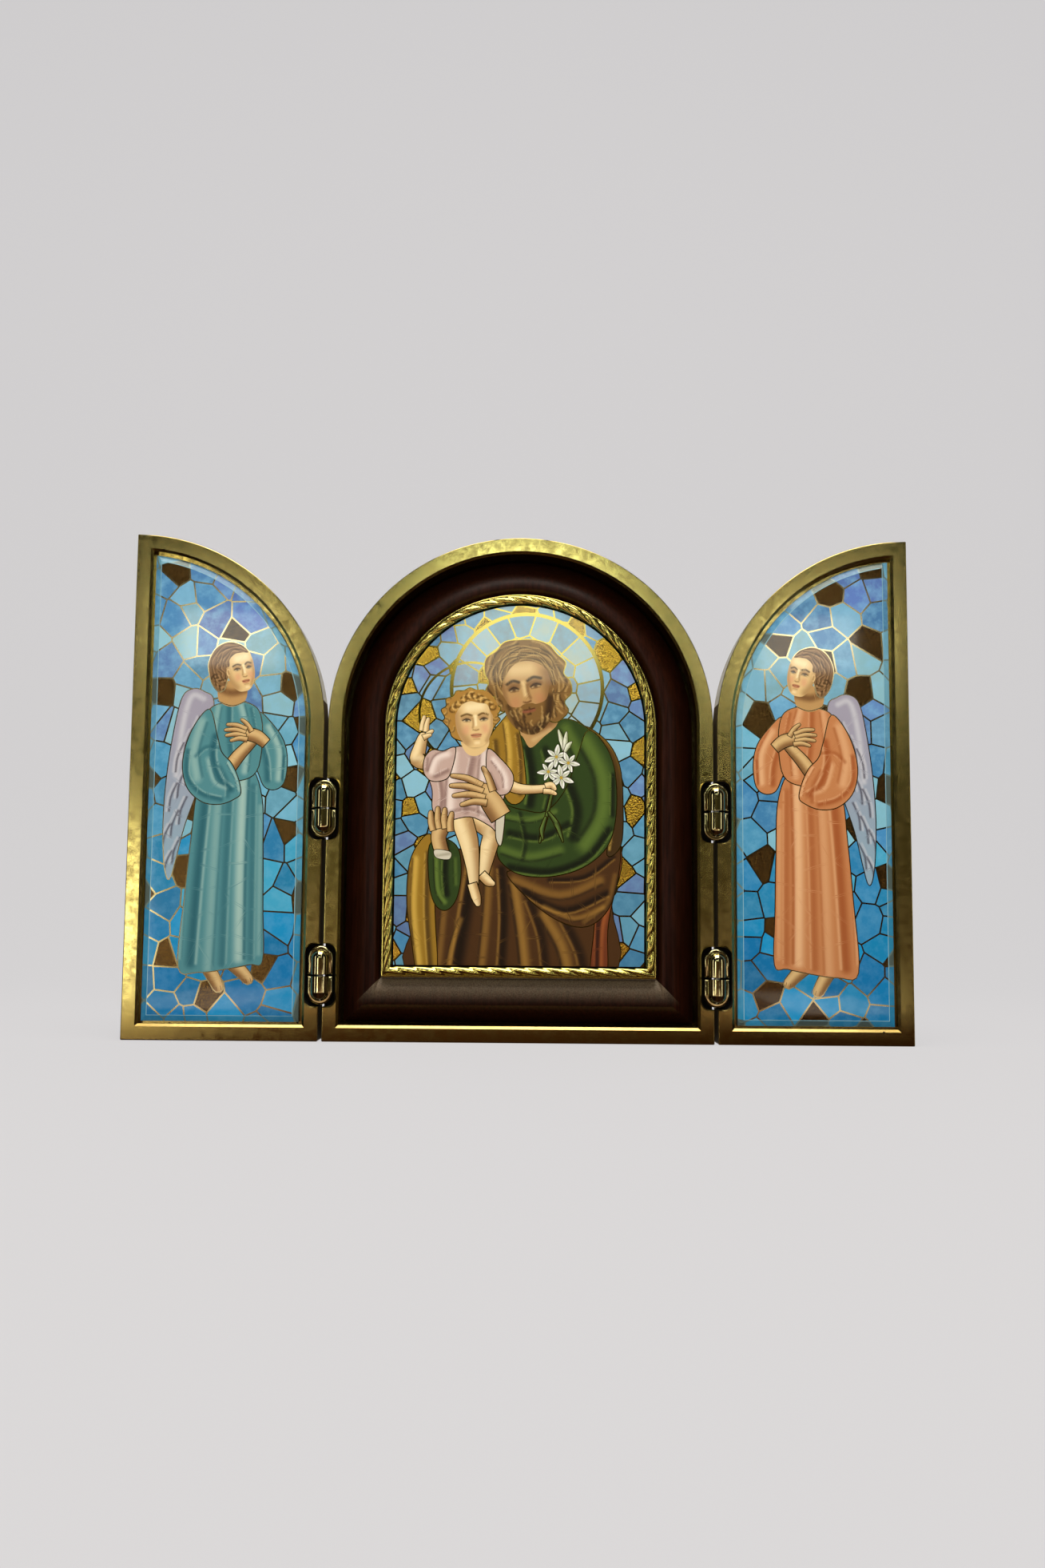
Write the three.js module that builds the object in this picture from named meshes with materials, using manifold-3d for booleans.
// A small desk triptych: an arched centre panel with two hinged wings whose tops are quarter circles.
// Gilt metal frames hold a raised wooden field, a picture plate in a rope border, and two wing pictures.
// Millimetres, +Z up. The front faces -Y and the wings lie open in the plane of the centre panel.
// The origin is under the middle of the whole object, on the surface that it stands on.
import * as THREE from "three";
import { mergeVertices } from "three/addons/utils/BufferGeometryUtils.js";
import Module from "manifold-3d";

const wasm = await Module();
wasm.setup();

// Driving sizes of the frames
const CENTRE_WIDTH = 77;
const HEIGHT = 101;
const CENTRE_DEPTH = 13;
const WING_WIDTH = 38.3;
const WING_DEPTH = 6.5;
const PANEL_GAP = 1; // between the centre frame and a wing, with the hinge axis in its middle
const FACE_WIDTH = 2.7; // flat front face of every frame
const LIP_WIDTH = 0.5; // small slope from the face down to the inner wall
const EDGE_BREAK = 0.3; // rounding of the outer arrises, as a flat
const ARC_STEPS = 40; // steps in half a circle
const FIT = 0.3; // clearance between pieces that touch

// Hinges
const AXIS_PROUD = 0.2; // the hinge axis stands this far in front of the frames' front plane
const BARREL_RADIUS = 1.8;
const FLANGE_HALF_WIDTH = 2.5;
const FLANGE_HALF_LENGTH = 5.75;
const FLANGE_FRONT = 0.2; // behind the axis
const FLANGE_BACK = 1.3; // behind the axis
const PIN_RADIUS = 0.55;
const PIN_HALF_LENGTH = 3.6;
const LUG_WIDTH = 1.8;
const LUG_HEIGHT = 3.4;
const BARREL_SIDES = 14;
const DOME_STEPS = 5;
const PIN_SIDES = 12;
const CURVE_STEPS = 5; // steps in a quarter circle of a pocket or flange
const POCKET_HALF_WIDTH = 3.05;
const POCKET_HALF_LENGTH = 6.15;
const POCKET_DEPTH = 3.4;
const POCKET_CORNER = 1.8;
const HINGE_HEIGHTS = { upper: 45.7, lower: 12.9 };

// Centre panel, inside its frame: depths are measured back from the front plane
const TRAY_FLOOR = 11.5;
const WOOD_EDGE_DEPTH = 6.5;
const WOOD_CREST_DEPTH = 1.8;
const WOOD_RECESS_DEPTH = 3.6;
const WOOD_SLOPE_STEPS = 5;
const BORDER_HALF_WIDTH = 27.2; // outside of the rope border
const BORDER_FOOT = 12.6; // height of its lower edge
const BORDER_GAP = 0.4; // shadow gap between the wood and the border
const BORDER_WIDTH = 2.1;
const BORDER_LIP = 0.25; // plain outer rim of the border
const BORDER_LIP_DEPTH = 1.5;
const ROPE_TOP_DEPTH = 0.6;
const ROPE_STRAND_SPACING = 3.95;
const ROPE_STRANDS = 3;
const ROPE_GROOVE = 0.3; // depth of the valleys as a share of the rope's height
const ROPE_STEPS_PER_STRAND = 4;
const ROPE_SECTION = [0, 0.28, 0.56, 0.82, 1]; // shares of the half turn over the rope
const PICTURE_DEPTH = 1.4;

// Wing pictures
const WING_RECESS_DEPTH = 2.3;
const WING_PICTURE_GAP = 0.5;
const WING_PICTURE_DEPTH = 0.45;
const PICTURE_BEVEL_WIDTH = 1.15;
const PICTURE_BEVEL_HEIGHT = 0.55;

// Derived places
const HALF = CENTRE_WIDTH / 2;
const SPRING = HEIGHT - HALF; // height where the round top starts
const AXIS_X = HALF + PANEL_GAP / 2;
const BARREL_PROUD = AXIS_PROUD + BARREL_RADIUS;
const FRONT = BARREL_PROUD - (CENTRE_DEPTH + BARREL_PROUD) / 2; // y of the frames' front plane
const AXIS_Y = FRONT - AXIS_PROUD;
const INNER = FACE_WIDTH + LIP_WIDTH; // inset of a frame's inner wall from its outside

const BRASS = { color: 0x8d7a3c, roughness: 0.38, metalness: 1 };
const POLISHED_BRASS = { color: 0xb5a878, roughness: 0.12, metalness: 1 };
const STEEL = { color: 0x9b9a95, roughness: 0.3, metalness: 1 };
const WOOD = { color: 0x2a1206, roughness: 0.35, metalness: 0 };
const CENTRE_ENAMEL = { color: 0x6f8fa0, roughness: 0.3, metalness: 0 };
const WING_ENAMEL = { color: 0x2a7396, roughness: 0.3, metalness: 0 };

function named(name, geometry, look) {
  const mesh = new THREE.Mesh(geometry, new THREE.MeshStandardMaterial(look));
  mesh.name = name;
  return mesh;
}

// A closed solid through loops of equal length, from the loop that closes the back to the one that
// closes the front. Each loop runs anticlockwise as seen from the front.
function stack(loops) {
  const count = loops[0].length;
  const positions = loops.flat().flatMap((p) => [p.x, p.y, p.z]);
  const index = [];
  for (let k = 0; k + 1 < loops.length; k++) {
    for (let i = 0; i < count; i++) {
      const a = k * count + i;
      const b = k * count + ((i + 1) % count);
      index.push(a, b, b + count, a, b + count, a + count);
    }
  }
  const last = (loops.length - 1) * count;
  for (let i = 1; i + 1 < count; i++) {
    index.push(0, i + 1, i);
    index.push(last, last + i, last + i + 1);
  }
  return indexed(positions, index);
}

// A closed ring: every loop runs round the ring and the last one joins back to the first.
function ring(loops) {
  const count = loops[0].length;
  const positions = loops.flat().flatMap((p) => [p.x, p.y, p.z]);
  const index = [];
  for (let k = 0; k < loops.length; k++) {
    const next = ((k + 1) % loops.length) * count;
    for (let i = 0; i < count; i++) {
      const j = (i + 1) % count;
      index.push(k * count + i, k * count + j, next + j, k * count + i, next + j, next + i);
    }
  }
  return indexed(positions, index);
}

function indexed(positions, index) {
  const geometry = new THREE.BufferGeometry();
  geometry.setAttribute("position", new THREE.Float32BufferAttribute(positions, 3));
  geometry.setIndex(index);
  geometry.computeVertexNormals();
  return geometry;
}

function solidOf(geometry) {
  const bare = geometry.clone();
  bare.deleteAttribute("normal");
  bare.deleteAttribute("uv");
  const merged = mergeVertices(bare, 1e-4);
  return new wasm.Manifold(
    new wasm.Mesh({
      numProp: 3,
      vertProperties: merged.attributes.position.array,
      triVerts: new Uint32Array(merged.index.array),
    }),
  );
}

function geometryOf(solid) {
  const mesh = solid.getMesh();
  return indexed(Array.from(mesh.vertProperties), Array.from(mesh.triVerts));
}

// Outline of the centre panel set in from its outside by one distance at the sides and top and
// another at the foot, at a depth behind the front plane.
function archLoop(inset, footInset, depth) {
  const y = FRONT + depth;
  const radius = HALF - inset;
  const loop = [new THREE.Vector3(-radius, y, footInset), new THREE.Vector3(radius, y, footInset)];
  for (let i = 0; i <= ARC_STEPS; i++) {
    const angle = (Math.PI * i) / ARC_STEPS;
    loop.push(new THREE.Vector3(radius * Math.cos(angle), y, SPRING + radius * Math.sin(angle)));
  }
  return loop;
}

// Outline of a wing: side is -1 for the left wing and 1 for the right. The tall edge is the outer one.
function wingLoop(side, inset, depth) {
  const y = FRONT + depth;
  const radius = WING_WIDTH - inset;
  const outer = AXIS_X + PANEL_GAP / 2 + WING_WIDTH;
  const start = Math.asin(inset / radius); // where the inset outer edge meets the arc
  const steps = ARC_STEPS / 2;
  const points = [
    [outer - inset, inset],
    [outer - radius, inset],
  ];
  for (let i = 0; i <= steps; i++) {
    const angle = start + ((Math.PI / 2 - start) * (steps - i)) / steps;
    points.push([outer - radius * Math.sin(angle), SPRING + radius * Math.cos(angle)]);
  }
  const loop = points.map(([x, z]) => new THREE.Vector3(side * x, y, z));
  return side > 0 ? loop.reverse() : loop;
}

// A frame is a shallow tray: broken outer arrises, flat face, small slope, inner wall and floor.
function tray(outline, depth, floor) {
  return stack([
    outline(EDGE_BREAK, depth),
    outline(0, depth - EDGE_BREAK),
    outline(0, EDGE_BREAK),
    outline(EDGE_BREAK, 0),
    outline(FACE_WIDTH, 0),
    outline(INNER, LIP_WIDTH),
    outline(INNER, floor),
  ]);
}

// A cutter for the two half pockets that a hinge lies in, one in each frame beside the gap.
function pocket(side, height) {
  const w = POCKET_HALF_WIDTH;
  const h = POCKET_HALF_LENGTH;
  const r = POCKET_CORNER;
  const shape = new THREE.Shape();
  shape.moveTo(-w + r, -h);
  shape.lineTo(w - r, -h);
  shape.absarc(w - r, -h + r, r, -Math.PI / 2, 0);
  shape.absarc(w - r, h - r, r, 0, Math.PI / 2);
  shape.absarc(-w + r, h - r, r, Math.PI / 2, Math.PI);
  shape.absarc(-w + r, -h + r, r, Math.PI, 1.5 * Math.PI);
  const cutter = new THREE.ExtrudeGeometry(shape, {
    depth: POCKET_DEPTH + 1,
    bevelEnabled: false,
    curveSegments: CURVE_STEPS,
  });
  cutter.rotateX(Math.PI / 2);
  cutter.translate(side * AXIS_X, FRONT + POCKET_DEPTH, height);
  return solidOf(cutter);
}

function cutPockets(geometry, sides) {
  let solid = solidOf(geometry);
  for (const side of sides) {
    for (const height of Object.values(HINGE_HEIGHTS)) {
      solid = solid.subtract(pocket(side, height));
    }
  }
  return geometryOf(solid);
}

function centreFrame() {
  const outline = (inset, depth) => archLoop(inset, inset, depth);
  return named("centre_frame", cutPockets(tray(outline, CENTRE_DEPTH, TRAY_FLOOR), [-1, 1]), BRASS);
}

// The wood lies deep at the frame and swells up to a crest beside the border, as a raised field.
function woodPanel() {
  const edge = INNER + FIT;
  const crest = HALF - BORDER_HALF_WIDTH - BORDER_GAP;
  const crestFoot = BORDER_FOOT - BORDER_GAP;
  const loops = [archLoop(edge, edge, TRAY_FLOOR - FIT)];
  for (let i = 0; i <= WOOD_SLOPE_STEPS; i++) {
    const across = i / WOOD_SLOPE_STEPS;
    const rise = Math.sin((Math.PI / 2) * across);
    loops.push(
      archLoop(
        edge + (crest - edge) * across,
        edge + (crestFoot - edge) * across,
        WOOD_EDGE_DEPTH + (WOOD_CREST_DEPTH - WOOD_EDGE_DEPTH) * rise,
      ),
    );
  }
  loops.push(archLoop(crest, crestFoot, WOOD_RECESS_DEPTH));
  return named("wood_panel", stack(loops), WOOD);
}

function centrePicture() {
  const inset = HALF - BORDER_HALF_WIDTH + BORDER_WIDTH + FIT;
  const foot = BORDER_FOOT + BORDER_WIDTH + FIT;
  const back = archLoop(inset, foot, WOOD_RECESS_DEPTH - FIT);
  return named("centre_picture", stack([back, archLoop(inset, foot, PICTURE_DEPTH)]), CENTRE_ENAMEL);
}

// Stations round the border, anticlockwise from the lower left corner, with the way run so far.
function borderStations() {
  const width = 2 * BORDER_HALF_WIDTH;
  const side = SPRING - BORDER_FOOT;
  const arc = Math.PI * BORDER_HALF_WIDTH;
  const step = ROPE_STRAND_SPACING / ROPE_STEPS_PER_STRAND;
  const runs = [width, side, arc, side];
  const stations = [];
  let way = 0;
  runs.forEach((length, run) => {
    const steps = Math.round(length / step);
    for (let i = 0; i < steps; i++) stations.push({ run, t: i / steps, way: way + (length * i) / steps });
    way += length;
  });
  return { stations, total: way };
}

// The point of a station on the border's outline set in by a distance.
function borderPoint({ run, t }, inset, depth) {
  const radius = BORDER_HALF_WIDTH - inset;
  const foot = BORDER_FOOT + inset;
  const y = FRONT + depth;
  if (run === 0) return new THREE.Vector3(radius * (2 * t - 1), y, foot);
  if (run === 1) return new THREE.Vector3(radius, y, foot + (SPRING - foot) * t);
  if (run === 3) return new THREE.Vector3(-radius, y, SPRING + (foot - SPRING) * t);
  const angle = Math.PI * t;
  return new THREE.Vector3(radius * Math.cos(angle), y, SPRING + radius * Math.sin(angle));
}

// A plain rim with a half-round rope inside it: strands wind from the inner edge to the outer one.
function ropeBorder() {
  const { stations, total } = borderStations();
  const strands = Math.round(total / ROPE_STRAND_SPACING);
  const ropeWidth = BORDER_WIDTH - BORDER_LIP;
  const height = BORDER_LIP_DEPTH - ROPE_TOP_DEPTH;
  const rope = ROPE_SECTION.map((share) =>
    stations.map((station) => {
      const turn = Math.PI * share;
      const phase = (ROPE_STRANDS / 2) * turn + (Math.PI * strands * station.way) / total;
      const lobe = 1 - ROPE_GROOVE * (1 - Math.abs(Math.cos(phase)));
      const inset = BORDER_LIP + (ropeWidth * (1 - Math.cos(turn))) / 2;
      const depth = BORDER_LIP_DEPTH - height * Math.sin(turn) * lobe;
      return borderPoint(station, inset, depth);
    }),
  );
  const plain = (inset, depth) => stations.map((station) => borderPoint(station, inset, depth));
  const back = WOOD_RECESS_DEPTH - FIT;
  const loops = [plain(0, back), plain(0, BORDER_LIP_DEPTH), ...rope, plain(BORDER_WIDTH, back)];
  return named("rope_border", ring(loops), POLISHED_BRASS);
}

function wingFrame(word, side) {
  const outline = (inset, depth) => wingLoop(side, inset, depth);
  const solid = cutPockets(tray(outline, WING_DEPTH, WING_RECESS_DEPTH), [side]);
  return named(`${word}_wing_frame`, solid, BRASS);
}

function wingPicture(word, side) {
  const inset = INNER + WING_PICTURE_GAP;
  const loops = [
    wingLoop(side, inset, WING_RECESS_DEPTH - FIT),
    wingLoop(side, inset, WING_PICTURE_DEPTH + PICTURE_BEVEL_HEIGHT),
    wingLoop(side, inset + PICTURE_BEVEL_WIDTH, WING_PICTURE_DEPTH),
  ];
  return named(`${word}_wing_picture`, stack(loops), WING_ENAMEL);
}

// Half a hinge: a round-ended barrel on a flange of the same outline, with a lug into its own pocket.
// It is made for the upper half about its own axis, and turned over for the lower half.
function knuckle(lugSide) {
  const start = FIT / 2;
  const shoulder = FLANGE_HALF_WIDTH - BARREL_RADIUS;
  const dome = FLANGE_HALF_LENGTH - shoulder - BARREL_RADIUS; // height where the round end starts
  const profile = [new THREE.Vector2(0, start), new THREE.Vector2(BARREL_RADIUS, start)];
  for (let i = 0; i <= DOME_STEPS; i++) {
    const angle = ((Math.PI / 2) * i) / DOME_STEPS;
    profile.push(new THREE.Vector2(BARREL_RADIUS * Math.cos(angle), dome + BARREL_RADIUS * Math.sin(angle)));
  }
  profile[profile.length - 1].x = 0;
  const barrel = new THREE.LatheGeometry(profile, BARREL_SIDES);
  barrel.rotateX(Math.PI / 2);

  const w = FLANGE_HALF_WIDTH;
  const shape = new THREE.Shape();
  shape.moveTo(-w, start);
  shape.lineTo(w, start);
  shape.lineTo(w, FLANGE_HALF_LENGTH - w);
  shape.absarc(0, FLANGE_HALF_LENGTH - w, w, 0, Math.PI);
  const thickness = FLANGE_BACK - FLANGE_FRONT;
  const flange = new THREE.ExtrudeGeometry(shape, {
    depth: thickness,
    bevelEnabled: false,
    curveSegments: 2 * CURVE_STEPS,
  });
  flange.rotateX(Math.PI / 2);
  flange.translate(0, FLANGE_BACK, 0);

  const lugStart = (FLANGE_FRONT + FLANGE_BACK) / 2;
  const lugDepth = POCKET_DEPTH + AXIS_PROUD - FIT - lugStart;
  const lug = new THREE.BoxGeometry(LUG_WIDTH, lugDepth, LUG_HEIGHT);
  const lugX = lugSide * (FLANGE_HALF_WIDTH - LUG_WIDTH / 2 - FIT / 3);
  lug.translate(lugX, lugStart + lugDepth / 2, start + LUG_HEIGHT / 2);

  const boreRadius = PIN_RADIUS + FIT;
  const boreLength = 2 * (PIN_HALF_LENGTH + FIT);
  const bore = new THREE.CylinderGeometry(boreRadius, boreRadius, boreLength, PIN_SIDES);
  bore.rotateX(Math.PI / 2);

  const body = solidOf(barrel).add(solidOf(flange)).add(solidOf(lug));
  return geometryOf(body.subtract(solidOf(bore)));
}

// The upper half turns with the wing and the lower half stays on the centre frame, on one pin.
function hinge(word, side, level) {
  const wingHalf = named(`${word}_${level}_hinge_wing_knuckle`, knuckle(side), POLISHED_BRASS);
  const centreGeometry = knuckle(side);
  centreGeometry.rotateY(Math.PI);
  const centreHalf = named(`${word}_${level}_hinge_centre_knuckle`, centreGeometry, POLISHED_BRASS);
  const pinGeometry = new THREE.CylinderGeometry(PIN_RADIUS, PIN_RADIUS, 2 * PIN_HALF_LENGTH, PIN_SIDES);
  pinGeometry.rotateX(Math.PI / 2);
  const pin = named(`${word}_${level}_hinge_pin`, pinGeometry, STEEL);
  const group = new THREE.Group();
  group.add(wingHalf, centreHalf, pin);
  group.position.set(side * AXIS_X, AXIS_Y, HINGE_HEIGHTS[level]);
  return group;
}

const triptych = new THREE.Group();
triptych.add(centreFrame(), woodPanel(), centrePicture(), ropeBorder());
for (const [word, side] of Object.entries({ left: -1, right: 1 })) {
  triptych.add(wingFrame(word, side), wingPicture(word, side));
  for (const level of Object.keys(HINGE_HEIGHTS)) triptych.add(hinge(word, side, level));
}

export default triptych;
